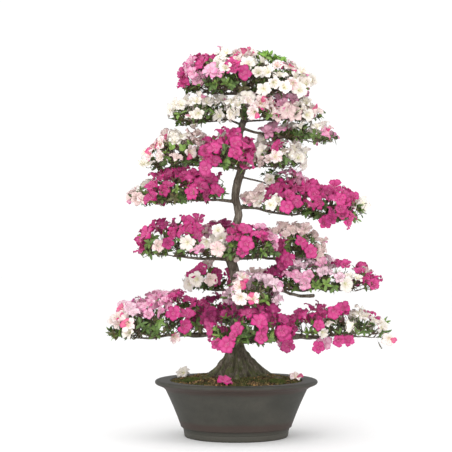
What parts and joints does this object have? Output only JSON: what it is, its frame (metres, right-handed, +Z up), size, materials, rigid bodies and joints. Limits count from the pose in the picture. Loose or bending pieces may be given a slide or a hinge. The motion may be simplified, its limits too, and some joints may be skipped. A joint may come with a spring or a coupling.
{
  "type": "potted flowering azalea bonsai",
  "caption": "Flowering azalea bonsai: winding trunk, spreading roots and flat pads of white, pink and magenta blossoms, in a round flared stoneware pot.",
  "frame": {"origin": "middle of the object's box, on the ground under the pot's foot", "axes": "+Z up the tree, +X to the right and +Y away from the viewer who faces the tree's front"},
  "size_m": [0.77, 0.45, 1.06],
  "materials": {
    "stoneware": "matte",
    "screen_mesh": "matte",
    "gravel": "matte",
    "soil": "matte",
    "moss": "matte",
    "bark": "matte",
    "leaf": "satin",
    "magenta_petal": "matte",
    "white_petal": "matte",
    "fertiliser": "matte"
  },
  "bodies": {
    "root": {"crown_blossoms": "white_petal", "crown_leaves": "leaf", "drain_screen_1": "screen_mesh", "drain_screen_2": "screen_mesh", "drain_screen_3": "screen_mesh", "fallen_blossom_front": "magenta_petal", "fallen_blossom_left": "white_petal", "fallen_blossom_right": "white_petal", "fertiliser_pellet": "fertiliser", "gravel": "gravel", "moss_back": "moss", "moss_left": "moss", "moss_right": "moss", "pot": "stoneware", "soil": "soil", "tier2_front_blossoms": "white_petal", "tier2_front_leaves": "leaf", "tier2_left_blossoms": "white_petal", "tier2_left_leaves": "leaf", "tier2_right_blossoms": "white_petal", "tier2_right_leaves": "leaf", "tier3_right_blossoms": "white_petal", "tier3_right_leaves": "leaf", "tier4_back_blossoms": "magenta_petal", "tier4_back_leaves": "leaf", "tier4_front_blossoms": "magenta_petal", "tier4_front_leaves": "leaf", "tier4_left_blossoms": "white_petal", "tier4_left_leaves": "leaf", "tier4_right_blossoms": "white_petal", "tier4_right_leaves": "leaf", "tier4_spur_blossoms": "magenta_petal", "tier4_spur_leaves": "leaf", "tier5_left_blossoms": "magenta_petal", "tier5_left_leaves": "leaf", "tier5_right_blossoms": "magenta_petal", "tier5_right_leaves": "leaf", "tier6_back_blossoms": "magenta_petal", "tier6_back_leaves": "leaf", "tier6_front_blossoms": "magenta_petal", "tier6_front_leaves": "leaf", "tier6_left_blossoms": "magenta_petal", "tier6_left_leaves": "leaf", "tier6_right_blossoms": "magenta_petal", "tier6_right_leaves": "leaf", "tier7_front_blossoms": "white_petal", "tier7_front_leaves": "leaf", "tier7_left_blossoms": "magenta_petal", "tier7_left_leaves": "leaf", "tier7_right_blossoms": "magenta_petal", "tier7_right_leaves": "leaf", "tier8_back_blossoms": "magenta_petal", "tier8_back_leaves": "leaf", "tier8_front_blossoms": "magenta_petal", "tier8_front_leaves": "leaf", "tier8_left_blossoms": "magenta_petal", "tier8_left_leaves": "leaf", "tier8_right_blossoms": "magenta_petal", "tier8_right_leaves": "leaf", "tree_wood": "bark"}
  },
  "joints": []
}
